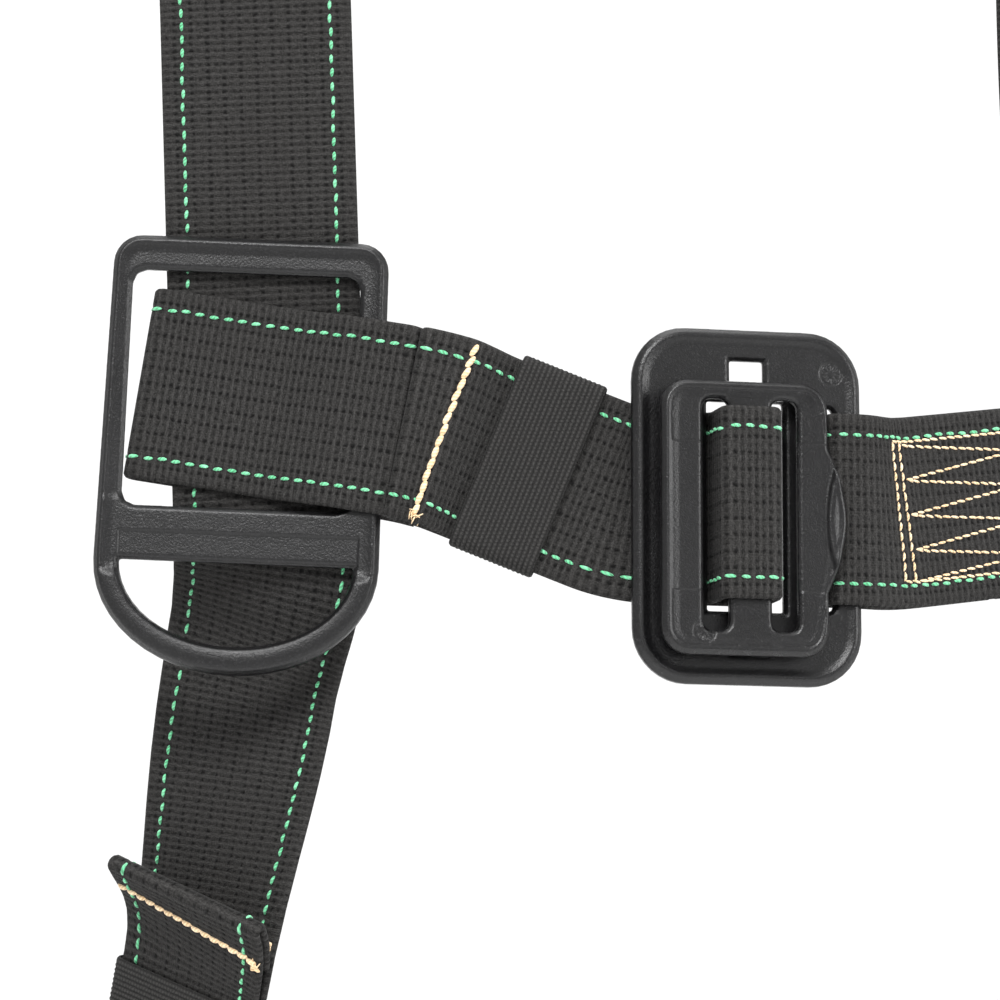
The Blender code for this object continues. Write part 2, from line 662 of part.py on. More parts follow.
def add_leg(side, name):
    """One leg loop: its long strap, its buckle and the short strap to the hip."""
    route = leg_route(side)
    centre = route.station(4) + 0.088
    hem_end = centre - 0.084
    corners = [(0, 0, 0)]
    stop = (centre - 0.0605, LAYER, 0.01)
    corners += threaded((centre - 0.087, 0, 0), centre, TONGUE_BAR, TONGUE_Q[1], stop)
    corners += [
        (centre - 0.068, LAYER * 2, 0.01),
        (hem_end, LAYER * 2, HEM_TURN),
        (hem_end, LAYER, HEM_TURN),
        (hem_end + HEM_LENGTH - 0.0035, LAYER, 0),
    ]
    add_web(f"leg_strap_{name}", trace(route, corners))
    top = LAYER + WEB_THICK / 2
    add_sleeve(f"leg_elastic_{name}", route, centre - 0.0580, centre - 0.0380, -WEB_THICK / 2, top)
    inside, below, above = looped(centre, STRAP_SLOT[1], FRAME_Q)
    add_web(f"leg_hip_strap_{name}", trace(route, [
        (centre + 0.062, LAYER, 0),
        (centre + 0.040, LAYER, 0.01),
        (centre + 0.0285, above, 0.006),
        (inside, above, BAR_TURN),
        (inside, below, BAR_TURN),
        (centre + 0.0275, below, 0.006),
        (centre + 0.036, 0.0, 0.01),
        (route.length(), 0.0, 0),
    ]))
    matrix = route.matrix(centre)
    add_plate(f"leg_buckle_frame_{name}", frame_outlines(), FRAME_Q, 0.0010, STEEL_BLACK, matrix)
    hinge = matrix @ Matrix.Translation((TONGUE_HINGE, 0, 0))
    add_plate(f"leg_buckle_tongue_{name}", tongue_outlines(), TONGUE_Q, 0.0008, STEEL_BLACK, hinge)


# ---- dorsal ring ----
def dorsal_matrix(height):
    """X to the wearer's right as seen from behind, Y up, Z out of the back."""
    matrix = Matrix((Vector((-1, 0, 0)), Vector((0, 0, 1)), Vector((0, 1, 0)))).transposed().to_4x4()
    matrix.translation = DORSAL + Vector((0, height, 0))
    return matrix


def back_plate_outlines():
    """The plate behind the dorsal ring, with a slot above and below for the webbing tab."""
    outlines = [rounded_box((-0.050, -0.040), (0.050, 0.040), 0.016, 8)]
    reach = SLOT_LENGTH / 2
    near, far = TAB_SLOT
    for low, high in ((near, far), (-far, -near)):
        outlines.append([(-reach, low), (reach, low), (reach, high), (-reach, high)])
    return outlines


def add_back_straps():
    """The cross strap between the shoulder straps, and the tab round it, the plate and the ring's bar."""
    end = YOKE + YOKE_OUT.normalized() * LAYER
    inward = Vector((YOKE_OUT.y, -YOKE_OUT.x, 0)).normalized()
    cross = Route([
        *flat(mirrored(-1, end), mirrored(-1, YOKE_OUT), (inward.x, -inward.y, 0), 0.022, 0.026),
        *flat(DORSAL, (0, 1, 0), (1, 0, 0), 0.054, 0.054),
        *flat(end, YOKE_OUT, inward, 0.026, 0.022),
    ])
    add_web("back_cross_strap", trace(cross, [(0, 0, 0), (cross.length(), 0, 0)]))
    tab = Route(flat(DORSAL, (0, 1, 0), (0, 0, 1), 0.05, 0.05))
    middle = tab.length() / 2
    over = DORSAL_BAR_Q[1] + GAP + WEB_THICK / 2
    through = sum(TAB_SLOT) / 2 - 0.0002
    end_reach, bar_reach, lowest = 0.016, 0.0065, 0.0075
    add_web("dorsal_tab", trace(tab, [
        (middle - end_reach, -LAYER, 0),
        (middle + through, -LAYER, BAR_TURN),
        (middle + through, lowest, BAR_TURN),
        (middle + bar_reach, over, 0.004),
        (middle - bar_reach, over, 0.004),
        (middle - through, lowest, BAR_TURN),
        (middle - through, -2 * LAYER, BAR_TURN),
        (middle + end_reach, -2 * LAYER, 0),
    ]))


def add_dorsal():
    """The back plate and the D ring whose straight bar lies under the tab."""
    add_plate("back_plate", back_plate_outlines(), BACK_PLATE_Q, 0.0006, PLASTIC_BLACK, dorsal_matrix(0))
    bar_middle = sum(DORSAL_BAR_Q) / 2
    bar_half = (DORSAL_BAR_Q[1] - DORSAL_BAR_Q[0]) / 2
    half, inner, rise = 0.0430, 0.0350, 0.062
    outline = [(-half, -bar_half), (half, -bar_half), (half, 0.022)]
    hole = [(-inner, bar_half), (inner, bar_half), (inner, 0.022)]
    for k in range(1, 20):
        angle = math.radians(180 * k / 20)
        outline.append((half * math.cos(angle), 0.022 + (rise - 0.022) * math.sin(angle)))
        hole.append((inner * math.cos(angle), 0.022 + (rise - 0.030) * math.sin(angle)))
    outline.append((-half, 0.022))
    hole.append((-inner, 0.022))
    lean = dorsal_matrix(bar_middle) @ Matrix.Rotation(DORSAL_HANG, 4, "X")
    add_plate("dorsal_d_ring", [outline, hole], (-bar_half, bar_half), 0.0014, STEEL_BLACK, lean)


def main():
    clear_scene()
    chest = chest_route()
    add_chest(chest)
    for side, name in ((-1, "right"), (1, "left")):
        add_shoulder(chest, side, name)
        add_leg(side, name)
    add_seat(chest)
    add_dorsal()
    add_back_straps()


main()
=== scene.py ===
"""The looks of the webbing climbing harness: woven straps, stitching, moulded and coated hardware.

Every strap is rebuilt along the sections of its own CAD solid, and every plate from the outline
of its own. Lengths are in metres.
"""

import heapq
import json
import math
import random

import bmesh
import bpy
import numpy as np
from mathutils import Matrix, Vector

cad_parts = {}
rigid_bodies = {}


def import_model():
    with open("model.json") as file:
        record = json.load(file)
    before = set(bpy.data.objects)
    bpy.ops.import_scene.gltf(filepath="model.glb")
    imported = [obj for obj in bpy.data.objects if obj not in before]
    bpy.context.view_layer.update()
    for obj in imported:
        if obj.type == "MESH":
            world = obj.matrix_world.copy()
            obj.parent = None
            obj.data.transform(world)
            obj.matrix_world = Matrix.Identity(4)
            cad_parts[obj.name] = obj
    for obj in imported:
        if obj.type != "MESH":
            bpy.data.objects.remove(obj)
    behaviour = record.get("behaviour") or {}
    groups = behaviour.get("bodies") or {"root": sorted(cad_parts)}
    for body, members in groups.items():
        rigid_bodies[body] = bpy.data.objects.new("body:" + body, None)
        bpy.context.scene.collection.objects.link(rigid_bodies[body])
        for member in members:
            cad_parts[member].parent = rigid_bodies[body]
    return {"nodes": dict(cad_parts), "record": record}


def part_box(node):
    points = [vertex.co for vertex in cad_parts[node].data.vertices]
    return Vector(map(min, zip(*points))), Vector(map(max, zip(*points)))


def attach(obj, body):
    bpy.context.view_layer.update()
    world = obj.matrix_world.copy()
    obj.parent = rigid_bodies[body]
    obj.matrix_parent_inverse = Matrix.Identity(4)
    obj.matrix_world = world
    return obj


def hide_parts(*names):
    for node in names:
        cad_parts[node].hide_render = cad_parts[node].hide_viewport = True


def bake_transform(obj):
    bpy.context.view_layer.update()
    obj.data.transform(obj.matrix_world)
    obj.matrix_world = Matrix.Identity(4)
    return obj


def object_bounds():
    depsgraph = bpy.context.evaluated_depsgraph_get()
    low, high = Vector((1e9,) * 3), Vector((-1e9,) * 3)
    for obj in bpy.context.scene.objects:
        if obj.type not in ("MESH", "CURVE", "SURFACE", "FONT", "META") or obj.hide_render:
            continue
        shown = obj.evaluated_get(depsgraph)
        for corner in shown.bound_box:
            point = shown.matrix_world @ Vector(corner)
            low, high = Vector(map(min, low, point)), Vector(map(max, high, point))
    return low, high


for leftover in list(bpy.data.objects):
    bpy.data.objects.remove(leftover)
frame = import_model()
CAD_BOX = [list(corner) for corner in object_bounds()]

MM = 0.001
WEB_HALF = 22 * MM
WEB_RISE = 1.0 * MM              # half the thickness of the webbing
EDGE_ROUND = 0.9 * MM
RIB_PITCH = 1.62 * MM
RIB_DEPTH = 0.17 * MM
ROW_INSET = 17.1 * MM            # the rows of green stitching, from the middle of the strap
ROW_START, ROW_END = 1.2 * MM, 1.5 * MM      # how far from a strap's ends its rows stay
GREEN_PITCH = 3.2 * MM
HEM_PITCH = 2.75 * MM
BOX_PITCH = 2.3 * MM
# the length, width and height of a stitch, and how far it is lifted off the webbing
GREEN_STITCH = (2.15 * MM, 0.86 * MM, 0.36 * MM, 0.08 * MM)
HEM_STITCH = (3.5 * MM, 1.35 * MM, 0.62 * MM, 0.14 * MM)
HEM_TUFT = (2.3 * MM, 0.34 * MM, 0.55 * MM, 0.25 * MM)
BOX_STITCH = (2.35 * MM, 0.62 * MM, 0.34 * MM, 0.10 * MM)
WELD = 0.02 * MM
CAP_AREA = 4 * WEB_HALF * WEB_RISE
STRAY = 60                       # how much dearer a step off a long edge is than one along it
CURVE_STEP = 0.35 * MM           # between the points of a strap's middle line
SHARP = math.radians(75)         # a middle line's turns past this stay corners
HORIZONTAL = np.array([1, 1, 0])
SIDES = ("right", "left")


# ---- reading straps back from the frame ----
def cad_shape(node):
    shape = bmesh.new()
    shape.from_mesh(frame["nodes"][node].data)
    bmesh.ops.remove_doubles(shape, verts=shape.verts, dist=WELD)
    shape.verts.index_update()
    return shape


def end_caps(shape):
    """The square-cut ends of a strap's solid, each as its four corners in the order of their index."""
    caps = []
    for edge in shape.edges:
        first, second = edge.link_faces
        flat = first.normal.dot(second.normal) > 0.9999
        if not flat or abs(first.calc_area() + second.calc_area() - CAP_AREA) > 0.04 * CAP_AREA:
            continue
        corners = set(first.verts) | set(second.verts)
        rim = [e for face in (first, second) for e in face.edges if e is not edge]
        turns = [e.link_faces[0].normal.dot(e.link_faces[1].normal) for e in rim]
        if len(corners) == 4 and max(abs(turn) for turn in turns) < 0.3:
            caps.append(sorted(corners, key=lambda corner: corner.index))
    return caps


def in_order(cap, sideways):
    """The corners of a cap in the order a, b, c, d, with a to b and d to c sideways across the webbing."""
    a = min(cap, key=lambda corner: corner.co.dot(sideways))
    others = [corner for corner in cap if corner is not a]
    d, b, c = sorted(others, key=lambda corner: (corner.co - a.co).length)
    return [a, b, c, d]


def edge_line(first, caps):
    """The corners along one long edge of a strap's solid, from the first to the far cap."""
    near, far = caps
    best, queue, back, tie = {first: 0.0}, [(0.0, 0, first)], {}, 0
    while queue:
        cost, _, corner = heapq.heappop(queue)
        if corner in far:
            break
        for edge in corner.link_edges:
            following = edge.other_vert(corner)
            flat = abs(edge.link_faces[0].normal.dot(edge.link_faces[1].normal))
            total = cost + edge.calc_length() * (1 + STRAY * (flat > 0.6))
            if following not in near and total < best.get(following, math.inf):
                tie += 1
                best[following], back[following] = total, corner
                heapq.heappush(queue, (total, tie, following))
    line = [corner]
    while line[-1] is not first:
        line.append(back[line[-1]])
    return [np.array(corner.co) for corner in reversed(line)]


def corner_rings(node, start, sideways):
    """Each section of a strap's solid as four points, from the end that lies furthest along start."""
    shape = cad_shape(node)
    towards = Vector(start)
    caps = sorted(end_caps(shape), key=lambda cap: -sum(corner.co.dot(towards) for corner in cap))
    lines = [edge_line(corner, caps) for corner in in_order(caps[0], Vector(sideways))]
    shape.free()
    shortest = min(lines, key=len)
    matched = []
    for line in lines:
        picks = []
        for k, point in enumerate(shortest):
            nearby = line[max(0, k - 1):k + 2] if len(line) > len(shortest) else [line[k]]
            picks.append(min(nearby, key=lambda other: np.linalg.norm(other - point)))
        matched.append(picks)
    return list(zip(*matched))


def unit(rows):
    rows = np.asarray(rows, float)
    return rows / np.maximum(np.linalg.norm(rows, axis=-1, keepdims=True), 1e-12)


def curve_through(points):
    """Points on a smooth curve through points, and where each of them lies among points."""
    after = np.concatenate([points[1:], points[-1:]])
    before = np.concatenate([points[:1], points[:-1]])
    tangents = unit(after - before)
    into, out_of = unit(points - before), unit(after - points)
    corner = np.arccos(np.clip((into * out_of).sum(1), -1, 1)) > SHARP
    made, places = [], []
    for k in range(len(points) - 1):
        start, end = points[k], points[k + 1]
        chord = np.linalg.norm(end - start)
        leave = out_of[k] if corner[k] else tangents[k]
        arrive = into[k + 1] if corner[k + 1] else tangents[k + 1]
        pieces = max(1, math.ceil(chord / CURVE_STEP))
        for piece in range(pieces):
            u = piece / pieces
            h00, h10 = 2 * u**3 - 3 * u**2 + 1, u**3 - 2 * u**2 + u
            h01, h11 = 3 * u**2 - 2 * u**3, u**3 - u**2
            made.append(h00 * start + h01 * end + chord * (h10 * leave + h11 * arrive))
            places.append(k + u)
    made.append(points[-1])
    places.append(len(points) - 1)
    return np.array(made), np.array(places)


class Strap:
    """The middle line of a strap with its directions, found by the distance along it."""

    def __init__(self, node, start, sideways):
        rings = np.array(corner_rings(node, start, sideways))
        centres = rings.mean(1)
        across = unit(rings[:, 1] - rings[:, 0] + rings[:, 2] - rings[:, 3])
        self.points, places = curve_through(centres)
        low = np.minimum(places.astype(int), len(centres) - 2)
        share = (places - low)[:, None]
        self.across = unit(across[low] * (1 - share) + across[low + 1] * share)
        self.along = unit(np.gradient(self.points, axis=0))
        self.up = unit(np.cross(self.along, self.across))
        steps = np.linalg.norm(np.diff(self.points, axis=0), axis=1)
        self.s = np.concatenate([[0], np.cumsum(steps)])
        self.length = self.s[-1]

    def at(self, s):
        """Middle, along, across and up at distances s."""
        s = np.atleast_1d(np.asarray(s, float))
        parts = []
        for rows in (self.points, self.along, self.across, self.up):
            parts.append(np.stack([np.interp(s, self.s, rows[:, k]) for k in range(3)], 1))
        return parts[0], unit(parts[1]), unit(parts[2]), unit(parts[3])

    def nearest(self, point):
        return self.s[np.argmin(np.linalg.norm(self.points - np.array(point), axis=1))]

    def outer(self, s):
        """1 if up points away from the wearer at s, else -1."""
        middle, _, _, up = self.at(s)
        return 1 if up[0] @ (middle[0] * HORIZONTAL) > 0 else -1


# ---- meshes ----
def new_object(name, verts, faces, uvs=None):
    mesh = bpy.data.meshes.new(name)
    mesh.from_pydata([tuple(v) for v in verts], [], faces)
    if uvs is not None:
        layer = mesh.uv_layers.new(name="UVMap")
        loops = np.zeros(len(mesh.loops), np.int32)
        mesh.loops.foreach_get("vertex_index", loops)
        layer.data.foreach_set("uv", np.asarray(uvs, np.float32)[loops].ravel())
    mesh.shade_smooth()
    obj = bpy.data.objects.new(name, mesh)
    bpy.context.scene.collection.objects.link(obj)
    return obj


def loft(count, around, closed_ends=True):
    """Faces of a tube through count rings of around points each, listed one ring after another."""
    faces = []
    for k in range(count - 1):
        here, ahead = k * around, (k + 1) * around
        for j in range(around):
            n = (j + 1) % around
            faces.append((here + j, here + n, ahead + n, ahead + j))
    if closed_ends:
        faces.append(tuple(reversed(range(around))))
        faces.append(tuple(range((count - 1) * around, count * around)))
    return faces


HALF_STOPS = (0.2, 0.4, 0.6, 0.74, 0.777, 0.815, 0.86, 0.94, 1)
ROW_SINK = 0.16 * MM             # how deep a row of stitches is pulled into the webbing
ROW_SINK_WIDTH = 0.55 * MM


def web_profile():
    """Points (v, h, share of the rib's depth) round a section of webbing."""
    flat = WEB_HALF - EDGE_ROUND
    top = []
    for stop in [-stop for stop in reversed(HALF_STOPS)] + [0, *HALF_STOPS]:
        v = stop * flat
        sunk = ROW_SINK * math.exp(-(((abs(v) - ROW_INSET) / ROW_SINK_WIDTH) ** 2))
        top.append((v, WEB_RISE - sunk, 0.35 if abs(stop) == 1 else 1.0))
    side = []
    for degrees in (30, 60, 90, 120, 150):
        angle = math.radians(degrees)
        v = flat + EDGE_ROUND * math.sin(angle)
        side.append((v, WEB_RISE * 0.86 * math.cos(angle), 0.25))
    bottom = [(v, -h, share) for v, h, share in reversed(top)]
    far = [(-v, -h, share) for v, h, share in side]
    return top + side + bottom + far


def weave_web(name, strap, step):
    """The webbing of a strap, with its ribs as real relief."""
    v, h, share = np.array(web_profile()).T
    count = max(2, round(strap.length / step)) + 1
    s = np.linspace(0, strap.length, count)
    middle, _, across, up = strap.at(s)
    rib = 0.5 - 0.5 * np.cos(2 * math.pi * s / RIB_PITCH)
    groove = RIB_DEPTH * share[None, :] * (1 - rib)[:, None]
    height = h[None, :] - np.sign(h)[None, :] * groove
    verts = middle[:, None, :] + across[:, None, :] * v[None, :, None]
    verts = verts + up[:, None, :] * height[:, :, None]
    uvs = np.stack(np.broadcast_arrays(s[:, None] / MM, (v / MM)[None, :]), 2)
    return new_object(name, verts.reshape(-1, 3), loft(count, len(v)), uvs.reshape(-1, 2))


# (how far along a stitch from its middle, how thick it is there), as shares
BEAD_RINGS = ((-1.0, 0.12), (-0.8, 0.62), (-0.4, 0.94), (0.0, 1.0), (0.4, 0.94), (0.8, 0.62), (1.0, 0.12))
BEAD_SIDES = 8
BEAD_DIP = 0.9                   # how far a stitch's ends sink in, as a share of its height


def beads(strap, spots, stitch):
    """Vertices, faces and uvs of thread stitches that lie along a strap.

    Each spot is (s, v, side, turn): turn is the stitch's angle from the strap's direction.
    """
    length, width, height, lift = stitch
    s, v, side, turn = np.array(spots, float).T
    verts, uvs = [], []
    for reach, thick in BEAD_RINGS:
        ahead = reach * length / 2
        place = np.clip(s + ahead * np.cos(turn), 0, strap.length)
        middle, along, across, up = strap.at(place)
        sideways = across * np.cos(turn)[:, None] - along * np.sin(turn)[:, None]
        level = WEB_RISE + lift - reach**2 * height * BEAD_DIP
        centre = middle + across * (v + ahead * np.sin(turn))[:, None] + up * (side * level)[:, None]
        for k in range(BEAD_SIDES):
            angle = 2 * math.pi * k / BEAD_SIDES
            point = centre + sideways * (math.cos(angle) * width / 2 * thick)
            verts.append(point + up * (side * math.sin(angle) * height * thick)[:, None])
            uvs.append(np.stack([(s + ahead) / MM, np.full(len(s), angle)], 1))
    verts = np.stack(verts, 1).reshape(-1, 3)
    uvs = np.stack(uvs, 1).reshape(-1, 2)
    template = loft(len(BEAD_RINGS), BEAD_SIDES)
    per_bead = len(BEAD_RINGS) * BEAD_SIDES
    faces = [tuple(i + spot * per_bead for i in face) for spot in range(len(s)) for face in template]
    return verts, faces, uvs


def join_parts(name, parts):
    """One object from parts that beads() made."""
    verts, faces, uvs, offset = [], [], [], 0
    for part_verts, part_faces, part_uvs in parts:
        verts.append(part_verts)
        uvs.append(part_uvs)
        faces += [tuple(i + offset for i in face) for face in part_faces]
        offset += len(part_verts)
    return new_object(name, np.concatenate(verts), faces, np.concatenate(uvs))


def edge_rows(strap, rng):
    """The two rows of green stitches, on both faces."""
    spots = []
    for row in (-1, 1):
        s = ROW_START + rng.random() * GREEN_PITCH
        while s < strap.length - ROW_END:
            wobble = rng.gauss(0, 0.10) * MM
            for side in (-1, 1):
                spots.append((s, row * ROW_INSET + wobble, side, rng.gauss(0.10, 0.05)))
            s += GREEN_PITCH * rng.uniform(0.95, 1.05)
    return beads(strap, spots, GREEN_STITCH)


def stitch_line(corners, side, pitch, rng):
    """Spots for stitches that follow a line of (s, v) corners on one face of a strap."""
    spots = []
    for (s0, v0), (s1, v1) in zip(corners, corners[1:]):
        reach = math.hypot(s1 - s0, v1 - v0)
        turn = math.atan2(v1 - v0, s1 - s0)
        count = max(1, round(reach / pitch))
        for k in range(count):
            share = (k + 0.5) / count
            s, v = s0 + (s1 - s0) * share, v0 + (v1 - v0) * share
            spots.append((s + rng.gauss(0, 0.08) * MM, v, side, turn + rng.gauss(0.16, 0.06)))
    return spots


def hem_fold(strap):
    """Where a strap's end is folded back on itself, and the face (1 or -1) outside the fold."""
    turned_back = strap.along @ strap.along[-1] < 0
    near_end = strap.s > strap.length - 30 * MM
    s = strap.s[np.nonzero(turned_back & near_end)[0][-1]]
    aside = 0.8 * MM
    before = strap.at(s - aside)[1][0]
    _, after, _, up = strap.at(s + aside)
    return s, -1 if (after[0] - before) @ up[0] > 0 else 1


def hem_seam(strap, rng, setback, slant):
    """The thick line of stitches across a strap's folded end, with a tuft at one end."""
    fold, side = hem_fold(strap)
    reach = WEB_HALF - 1.3 * MM
    lines = (fold - setback, fold + setback)
    spots, tufts = [], []
    for s in lines:
        spots += stitch_line([(s - slant, -reach), (s + slant, reach)], side, HEM_PITCH, rng)
    for s in lines:
        for _ in range(9):
            along = s - slant + rng.gauss(0, 0.8) * MM
            across = -reach - rng.uniform(-1.2, 0.9) * MM
            tufts.append((along, across, side, rng.uniform(0, 3.1)))
    return [beads(strap, spots, HEM_STITCH), beads(strap, tufts, HEM_TUFT)]


def zigzag_box(strap, start, end, side, rng):
    """Box stitching: two rows across at the start, a border, and zigzags along the strap."""
    half, row_gap, teeth = 16.2 * MM, 3.3 * MM, 4
    root, tip = start + 4.6 * MM, end - 1.5 * MM
    spots = []
    for s in (start, start + row_gap):
        spots += stitch_line([(s, -half), (s, half)], side, BOX_PITCH, rng)
    border = [(start, -half), (end, -half), (end, half), (start, half)]
    spots += stitch_line(border, side, BOX_PITCH, rng)
    corners = []
    for k in range(teeth):
        v = -half + 2 * half * (k + 0.1) / teeth
        corners += [(root, v), (tip, v + 2 * half * 0.45 / teeth)]
    corners.append((root, half))
    spots += stitch_line(corners, side, BOX_PITCH, rng)
    return beads(strap, spots, BOX_STITCH)


CORNER_PIECES = 6


def rounded_rectangle(half_v, low, high, radius, step):
    """Points (v, h) round a rectangle with rounded corners."""
    corners = [(half_v, high), (-half_v, high), (-half_v, low), (half_v, low)]
    line = []
    for k, (v, h) in enumerate(corners):
        centre_v = v - math.copysign(radius, v)
        centre_h = h - radius if h == high else h + radius
        for piece in range(CORNER_PIECES + 1):
            angle = math.radians(90 * (k + piece / CORNER_PIECES))
            line.append((centre_v + radius * math.cos(angle), centre_h + radius * math.sin(angle)))
    points = []
    for (v0, h0), (v1, h1) in zip(line, line[1:] + line[:1]):
        pieces = max(1, round(math.hypot(v1 - v0, h1 - h0) / step))
        points += [(v0 + (v1 - v0) * k / pieces, h0 + (h1 - h0) * k / pieces) for k in range(pieces)]
    return points


KNIT_PITCH = 1.15 * MM
KNIT_DEPTH = 0.10 * MM
KNIT_STEP = 0.23 * MM
SLEEVE_HEM = 1.6 * MM            # the plain band at each end of a sleeve
SLEEVE_INSET = 0.75 * MM


def knit_sleeve(name, node, strap):
    """An elastic sleeve with rounded folds and knitted columns, in the place of its CAD prism."""
    corners = np.array([v.co for v in frame["nodes"][node].data.vertices])
    centre = corners.mean(0)
    _, along, across, up = (rows[0] for rows in strap.at(strap.nearest(centre)))
    local = (corners - centre) @ np.array([along, across, up]).T
    low, high = local.min(0), local.max(0)
    mid_v = (high[1] + low[1]) / 2
    radius = (high[2] - low[2]) * 0.42
    outer = np.array(rounded_rectangle((high[1] - low[1]) / 2, low[2], high[2], radius, 0.5 * MM))
    around = np.concatenate([[0], np.cumsum(np.linalg.norm(np.diff(outer, axis=0), axis=1))])
    round_it = unit(np.roll(outer, -1, 0) - np.roll(outer, 1, 0))
    outwards = np.stack([round_it[:, 1], -round_it[:, 0]], 1)
    rings = []
    for x in np.linspace(low[0], high[0], round((high[0] - low[0]) / KNIT_STEP) + 1):
        rim = min(x - low[0], high[0] - x)
        turned = 0.35 * MM * (min(1.0, rim / (0.5 * MM)) - 1)
        columns = KNIT_DEPTH * math.cos(2 * math.pi * x / KNIT_PITCH) * (rim > SLEEVE_HEM)
        rings.append((x, outer + outwards * (turned + columns - 0.06 * MM)))
    for x in (high[0], low[0]):
        rings.append((x, outer - outwards * SLEEVE_INSET))
    verts, uvs = [], []
    for x, ring in rings:
        v, h = ring.T
        verts.append(centre + x * along + (v + mid_v)[:, None] * across + h[:, None] * up)
        uvs.append(np.stack([np.full(len(outer), x / MM), around / MM], 1))
    size = len(outer)
    faces = loft(len(rings), size, closed_ends=False)
    last = (len(rings) - 1) * size
    for j in range(size):
        n = (j + 1) % size
        faces.append((last + j, last + n, n, j))
    return new_object(name, np.concatenate(verts), faces, np.concatenate(uvs))


def smooth_step(low, high, value):
    share = np.clip((value - low) / (high - low), 0, 1)
    return share * share * (3 - 2 * share)


def turns_right(first, second, third):
    """Whether a line through three points turns right at the second, or goes straight on."""
    return np.cross(np.subtract(second, first), np.subtract(third, first)) <= 0


def hull_distance(points, outline):
    """How far inside the convex hull of outline each point lies."""
    ordered = sorted(map(tuple, np.round(outline, 6)))
    hull = []
    for run in (ordered, ordered[::-1]):
        chain = []
        for here in run:
            while len(chain) > 1 and turns_right(*chain[-2:], here):
                chain.pop()
            chain.append(here)
        hull += chain[:-1]
    hull = np.array(hull)
    distance = np.full(len(points), 1.0)
    for start, end in zip(hull, np.roll(hull, -1, 0)):
        direction = unit(end - start)
        inwards = np.array([-direction[1], direction[0]])
        distance = np.minimum(distance, (points - start) @ inwards)
    return distance


def rounded_mesh(name, shape, voxel):
    """An object with a fine even mesh of a solid, its edges rounded off."""
    raw = bpy.data.meshes.new(f"{name}_raw")
    shape.to_mesh(raw)
    obj = bpy.data.objects.new(name, raw)
    bpy.context.scene.collection.objects.link(obj)
    remesh = obj.modifiers.new("grid", "REMESH")
    remesh.mode, remesh.voxel_size = "VOXEL", voxel
    soften = obj.modifiers.new("soften", "SMOOTH")
    soften.factor, soften.iterations = 0.6, 7
    seen = obj.evaluated_get(bpy.context.evaluated_depsgraph_get())
    mesh = bpy.data.meshes.new_from_object(seen)
    obj.modifiers.clear()
    obj.data = mesh
    return obj


def plate_directions(shape, middle):
    """Right, up and out of a plate, as seen from outside."""
    corners = np.array([v.co for v in shape.verts])
    normals = np.array([face.normal for face in shape.faces])
    areas = np.array([face.calc_area() for face in shape.faces])
    facing = normals @ normals[np.argmax(areas)]
    flat = np.abs(facing) > 0.999
    out = unit((normals[flat] * (np.sign(facing[flat]) * areas[flat])[:, None]).sum(0))
    if out @ (middle * HORIZONTAL) < 0:
        out = -out
    spread = corners - corners.mean(0)
    spread = spread - np.outer(spread @ out, out)
    up = np.linalg.svd(spread, full_matrices=False)[2][0]
    up = up if up[2] > 0 else -up
    return np.cross(up, out), up, out


def moulded(name, node, voxel, relief, origin):
    """A plate's CAD solid with rounded edges and relief(x, y, depth from the rim) on its faces.

    x and y are measured from origin, or else from the plate's middle, to the right and up.
    """
    shape = cad_shape(node)
    corners = np.array([v.co for v in shape.verts])
    middle = corners.mean(0) if origin is None else np.array(origin)
    right, up, out = plate_directions(shape, middle)
    obj = rounded_mesh(name, shape, voxel)
    shape.free()
    mesh = obj.data
    count = len(mesh.vertices)
    points, normals = np.zeros(count * 3, np.float32), np.zeros(count * 3, np.float32)
    mesh.vertices.foreach_get("co", points)
    mesh.vertices.foreach_get("normal", normals)
    points, normals = points.reshape(-1, 3).astype(float), normals.reshape(-1, 3)
    axes = np.array([right, up]).T
    plane = (points - middle) @ axes
    depth = hull_distance(plane, (corners - middle) @ axes)
    towards = normals @ out
    face = smooth_step(0.35, 0.9, np.abs(towards)) * np.sign(towards)
    raised = relief(plane[:, 0], plane[:, 1], depth, towards > 0)
    points += out * (face * raised)[:, None]
    mesh.vertices.foreach_set("co", points.astype(np.float32).ravel())
    mesh.update()
    mesh.shade_smooth()
    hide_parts(node)
    return obj


def bead_rim(depth, middle=1.9 * MM, spread=0.85 * MM, rise=0.42 * MM, sunk=0.22 * MM):
    """A raised bead just inside the rim, and a face a little lower than it."""
    bead = rise * np.exp(-(((depth - middle) / spread) ** 2))
    return bead - sunk * smooth_step(2.6 * MM, 4.2 * MM, depth)


def mould_mark(x, y, centre):
    """A round clock-like mark left by the mould."""
    across, up = x - centre[0], y - centre[1]
    reach = np.hypot(across, up)
    ring = np.exp(-(((reach - 2.5 * MM) / (0.28 * MM)) ** 2))
    spokes = (np.cos(9 * np.arctan2(up, across)) > 0.1) * (reach < 2.0 * MM) * (reach > 0.8 * MM)
    return -0.16 * MM * ring - 0.14 * MM * spokes


def frame_relief(x, y, depth, front):
    return bead_rim(depth) + front * mould_mark(x, y, (16.6 * MM, 31.3 * MM))


def tongue_relief(x, y, depth, front):
    """The tongue's bead, and the scooped tab at its side that a thumb lifts."""
    reach = ((x - 20.0 * MM) / (6.6 * MM)) ** 2 + ((y + 0.4 * MM) / (17.5 * MM)) ** 2
    raised_tab = 0.95 * MM * smooth_step(1.0, 0.72, reach)
    scoop = 0.75 * MM * smooth_step(0.62, 0.10, reach)
    panel = 0.16 * MM * smooth_step(16.7 * MM, 17.1 * MM, np.abs(y)) * (depth > 2.2 * MM)
    mark = mould_mark(x, y, (-15.3 * MM, -26.3 * MM))
    return bead_rim(depth, 1.3 * MM, 0.75 * MM) + front * (raised_tab - scoop + mark + panel)


